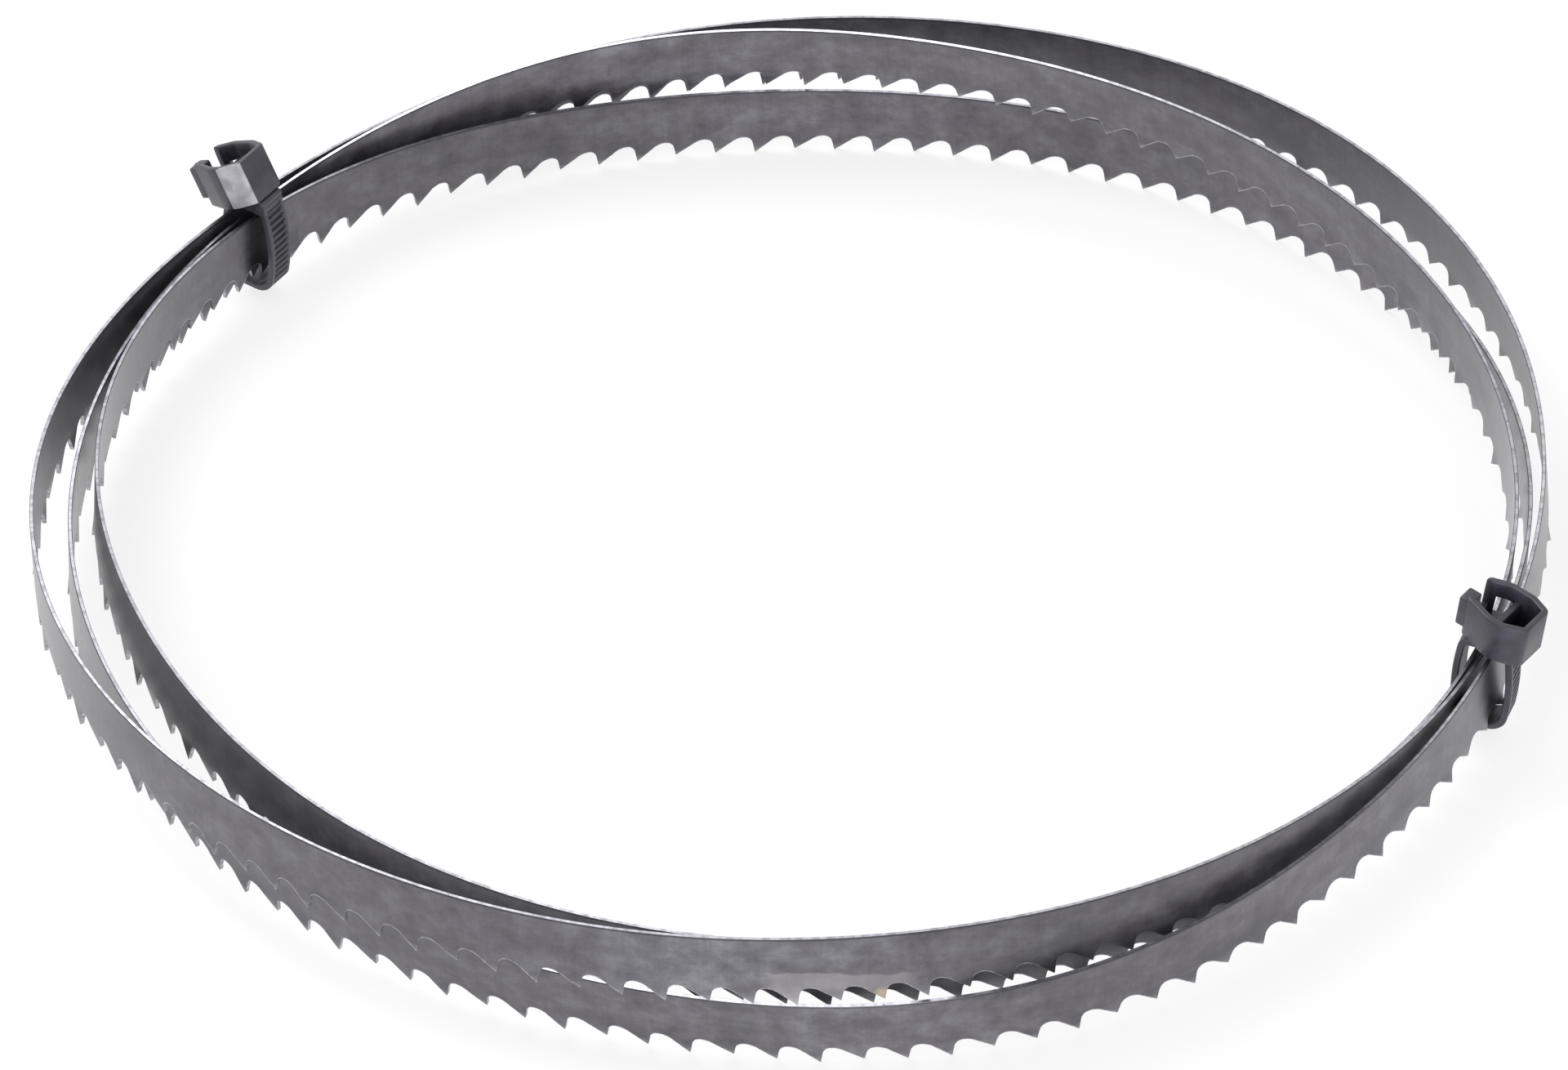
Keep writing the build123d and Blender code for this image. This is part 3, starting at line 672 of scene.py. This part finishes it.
def tie_surface(sizes, angle, lean, head_lean, turn, head_turn, bow, loop_out, head_out, tab_out):
    """One moulded tie: head walls, floor, rib and tab, strap and neck, each placed as in the solid."""
    middle, wide, tall = bundle_size(sizes, angle, lean, turn)
    inner_w, inner_h = wide + 2 * CLEARANCE, tall + 2 * (CLEARANCE + LOOP_RISE)
    outer_w, outer_h = inner_w + 2 * STRAP_THICKNESS, inner_h + 2 * STRAP_THICKNESS
    rise = (outer_w / 2 + head_out - loop_out) * np.tan(radians(head_lean)) - HEAD_SEAT
    rise = max(0.0, rise)

    # The head, with its rib run into the front and back walls and its tab into the end wall
    half_l, half_d = HEAD_LENGTH / 2, HEAD_DEPTH / 2
    walls, wall_quads = head_walls()
    floor = plate(head_plan(0.3), 0.02, HEAD_FLOOR, 0.2)
    rib = soft_block((-HEAD_RIB / 2, -half_d - 1.2, 0.5),
                     (HEAD_RIB / 2, half_d + 0.6, HEAD_HEIGHT - RIB_DROP), 0.2)
    tab_top = HEAD_HEIGHT - TAB_DROP
    tab = soft_block((-half_l - TAB_LENGTH, -half_d, tab_top - TAB_HEIGHT),
                     (-half_l + 1.0, -half_d + TAB_DEPTH, tab_top), 0.35)

    # The left tie's flat with a painted highlight, on its front wall between the ridge and the far end
    wall = walls[wall_quads].mean(axis=1)
    flat_at = -half_d - FRONT_BULGE * (half_l - wall[:, 0]) / (half_l - RIDGE_AT)
    painted_highlight_flat = (np.abs(wall[:, 1] - flat_at) < 0.3) & (wall[:, 0] > RIDGE_AT + 0.5) & tab_out

    spin = turned("Z", head_turn - turn) @ turned("Y", head_lean)
    spin = spin @ turned("Z", 180.0 if tab_out else 0.0)
    seat = np.array([head_out - loop_out, 0.0, outer_h / 2 - HEAD_SEAT])
    placed = [(points @ spin.T + seat, quads) for points, quads in ((walls, wall_quads), floor, rib, tab)]
    placed.append(ribbed_strap(inner_w, inner_h, rise, bow))
    placed.append(neck(outer_w, inner_h, rise))
    whole = turned("Z", angle) @ turned("Y", lean) @ turned("Z", turn)
    all_points, all_quads, first = [], [], 0
    for points, quads in placed:
        all_points.append(((points + np.array([loop_out, 0.0, 0.0])) @ whole.T + middle) * MM)
        all_quads.append(quads + first)
        first += len(points)
    quads = np.concatenate(all_quads)
    slots = np.zeros(len(quads), dtype=int)
    slots[:len(painted_highlight_flat)] = painted_highlight_flat
    return np.concatenate(all_points), quads, slots


def mesh_object(name, points, quads, slots, materials, uv=None):
    """Puts whole arrays into a new mesh and links its object at the origin."""
    mesh = bpy.data.meshes.new(name)
    mesh.from_pydata(points.tolist(), [], quads.tolist())
    for material in materials:
        mesh.materials.append(material)
    mesh.polygons.foreach_set("material_index", slots.astype(np.int32))
    if uv is not None:
        layer = mesh.uv_layers.new(name="band")
        layer.data.foreach_set("uv", uv.astype(np.float32).ravel())
    mesh.polygons.foreach_set("use_smooth", np.ones(len(quads), dtype=bool))
    mesh.set_sharp_from_angle(angle=radians(SHARP_ANGLE))
    mesh.update()
    made = bpy.data.objects.new(name, mesh)
    bpy.context.scene.collection.objects.link(made)
    return made


# Operators


class MESH_OT_saw_band(bpy.types.Operator):
    """Coiled toothed band with raker-set teeth and rounded gullets"""

    bl_idname = "mesh.saw_band"
    bl_label = "Toothed band"

    def execute(self, context):
        sizes = context.scene.saw_blade
        points, quads, slots, uv = band_surface(sizes)
        made = mesh_object("toothed_band", points, quads, slots,
                           [rolled_steel(sizes), ground_back(sizes), milled_teeth_and_highlight()], uv)
        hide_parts("saw_blade")
        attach(made, "root")
        return {"FINISHED"}


class MESH_OT_saw_ties(bpy.types.Operator):
    """Two moulded nylon ties that hold the laps together"""

    bl_idname = "mesh.saw_ties"
    bl_label = "Moulded ties"

    def execute(self, context):
        sizes = context.scene.saw_blade
        nylon = [moulded_nylon(sizes), painted_highlight_nylon()]
        for name, tie, node_name in (("moulded_tie_left", LEFT_TIE, "cable_tie_left"),
                                     ("moulded_tie_right", RIGHT_TIE, "cable_tie_right")):
            points, quads, slots = tie_surface(sizes, **tie)
            made = mesh_object(name, points, quads, slots, nylon)
            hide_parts(node_name)
            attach(made, "root")
        return {"FINISHED"}


# Camera, from the edges and tooth tips traced in the photograph: degrees above the floor, distance
# from the coil's centre, degrees of roll, pixels to the millimetre there and its pixel
VIEW_HEIGHT, VIEW_DISTANCE, VIEW_ROLL = 41.31, 1562.3 * MM, -1.848
PIXELS_PER_MM, CENTRE_PIXEL = 7.879, (978.03, 695.84)
PICTURE_WIDTH, PICTURE_HEIGHT = 1920, 1310
SENSOR_WIDTH = 36.0

# Floor's half width in metres, the plain white share that the camera and reflections see of it, and
# the strength of the room's white on matt surfaces
FLOOR_REACH, FLOOR_GLOW, ROOM_LIGHT = 3.0, 0.72, 0.9


class SCENE_OT_saw_stage(bpy.types.Operator):
    """White floor, soft light and the camera at the photograph's angle"""

    bl_idname = "scene.saw_stage"
    bl_label = "Stage, light and camera"

    def execute(self, context):
        scene = context.scene
        scene.view_settings.view_transform = "Standard"
        self.floor(scene)
        self.world(scene)
        self.lamps(scene)
        self.camera(scene)
        return {"FINISHED"}

    def floor(self, scene):
        """White paper floor: mostly plain white to the camera, and it keeps the coil's shadow."""
        mesh = bpy.data.meshes.new("floor")
        s = FLOOR_REACH
        mesh.from_pydata([(-s, -s, 0), (s, -s, 0), (s, s, 0), (-s, s, 0)], [], [(0, 1, 2, 3)])
        material = bpy.data.materials.new("white_paper_floor")
        material.use_nodes = True
        tree = material.node_tree
        tree.nodes.clear()
        out = tree.nodes.new("ShaderNodeOutputMaterial")
        paper = node(tree, "ShaderNodeBsdfDiffuse", {"Color": (0.9, 0.9, 0.9, 1.0)})
        glow = node(tree, "ShaderNodeEmission", {"Color": (1.0, 1.0, 1.0, 1.0), "Strength": 1.0})
        rays = tree.nodes.new("ShaderNodeLightPath")
        seen = node(tree, "ShaderNodeMath", {"operation": "MAXIMUM"}, i0=rays.outputs["Is Camera Ray"],
                    i1=rays.outputs["Is Glossy Ray"])
        part = node(tree, "ShaderNodeMath", {"operation": "MULTIPLY", 1: FLOOR_GLOW}, i0=seen.outputs[0])
        mix = node(tree, "ShaderNodeMixShader", i0=part.outputs[0], i1=paper.outputs[0],
                   i2=glow.outputs[0])
        tree.links.new(mix.outputs[0], out.inputs[0])
        mesh.materials.append(material)
        made = bpy.data.objects.new("floor", mesh)
        scene.collection.objects.link(made)

    def world(self, scene):
        """White room: full white to the camera and in reflections, a little less on matt surfaces."""
        world = bpy.data.worlds.new("white_room")
        scene.world = world
        world.use_nodes = True
        tree = world.node_tree
        tree.nodes.clear()
        out = tree.nodes.new("ShaderNodeOutputWorld")
        rays = tree.nodes.new("ShaderNodeLightPath")
        first = node(tree, "ShaderNodeMath", {"operation": "MAXIMUM"}, i0=rays.outputs["Is Camera Ray"],
                     i1=rays.outputs["Is Glossy Ray"])
        seen = node(tree, "ShaderNodeMath", {"operation": "MAXIMUM"}, i0=first.outputs[0],
                    i1=rays.outputs["Is Transmission Ray"])
        strength = node(tree, "ShaderNodeMapRange", {"To Min": ROOM_LIGHT, "To Max": 1.0},
                        Value=seen.outputs[0])
        back = node(tree, "ShaderNodeBackground", {"Color": (1.0, 1.0, 1.0, 1.0)},
                    Strength=strength.outputs[0])
        tree.links.new(back.outputs[0], out.inputs[0])

    def lamps(self, scene):
        """One broad soft key from the upper left and behind, one fill from the front: place and size
        in metres, power in watts."""
        for name, place, size, power in (("key_softbox", (-0.5, 0.7, 1.1), 0.9, 11.0),
                                         ("front_fill", (0.0, -1.3, 0.35), 0.7, 11.0)):
            lamp = bpy.data.lights.new(name, "AREA")
            lamp.energy = power
            lamp.size = size
            made = bpy.data.objects.new(name, lamp)
            made.location = place
            made.rotation_euler = (Vector((0, 0, 0)) - Vector(place)).to_track_quat("-Z", "Y").to_euler()
            scene.collection.objects.link(made)

    def camera(self, scene):
        """Long lens aimed so that the coil's centre falls on its pixel of the photograph."""
        tilt, roll = radians(VIEW_HEIGHT), radians(VIEW_ROLL)
        focal = PIXELS_PER_MM * VIEW_DISTANCE / MM
        ahead = Vector((0, cos(tilt), -sin(tilt)))
        right = Vector((1, 0, 0))
        up = right.cross(ahead)
        turned_right = right * cos(roll) + up * sin(roll)
        turned_up = turned_right.cross(ahead)
        dx, dy = PICTURE_WIDTH / 2 - CENTRE_PIXEL[0], CENTRE_PIXEL[1] - PICTURE_HEIGHT / 2
        aim = (ahead * focal + turned_right * dx + turned_up * dy).normalized()
        side = aim.cross(turned_up).normalized()
        top = side.cross(aim)
        place = Vector(COIL_CENTRE) * MM - ahead * VIEW_DISTANCE
        lens = bpy.data.cameras.new("photo_view")
        lens.sensor_width = SENSOR_WIDTH
        lens.lens = focal / PICTURE_WIDTH * SENSOR_WIDTH
        lens.clip_start = 0.05
        lens.clip_end = 50.0
        made = bpy.data.objects.new("photo_view", lens)
        made.matrix_world = Matrix((
            (side.x, top.x, -aim.x, place.x),
            (side.y, top.y, -aim.y, place.y),
            (side.z, top.z, -aim.z, place.z),
            (0, 0, 0, 1)))
        scene.collection.objects.link(made)
        scene.camera = made


class VIEW3D_PT_saw_blade(bpy.types.Panel):
    """Lists the sizes and the pieces"""

    bl_label = "Saw blade"
    bl_space_type = "VIEW_3D"
    bl_region_type = "UI"
    bl_category = "Saw blade"

    def draw(self, context):
        sizes = context.scene.saw_blade
        for name in sizes.__annotations__:
            self.layout.prop(sizes, name)
        for operator in OPERATORS:
            self.layout.operator(operator.bl_idname)


OPERATORS = (MESH_OT_saw_band, MESH_OT_saw_ties, SCENE_OT_saw_stage)
CLASSES = (SawBladeSizes,) + OPERATORS + (VIEW3D_PT_saw_blade,)


def register():
    for cls in CLASSES:
        bpy.utils.register_class(cls)
    bpy.types.Scene.saw_blade = PointerProperty(type=SawBladeSizes)


def unregister():
    del bpy.types.Scene.saw_blade
    for cls in reversed(CLASSES):
        bpy.utils.unregister_class(cls)


def main():
    register()
    bpy.ops.mesh.saw_band()
    bpy.ops.mesh.saw_ties()
    bpy.ops.scene.saw_stage()
    bpy.context.view_layer.update()


if __name__ == "__main__":
    main()
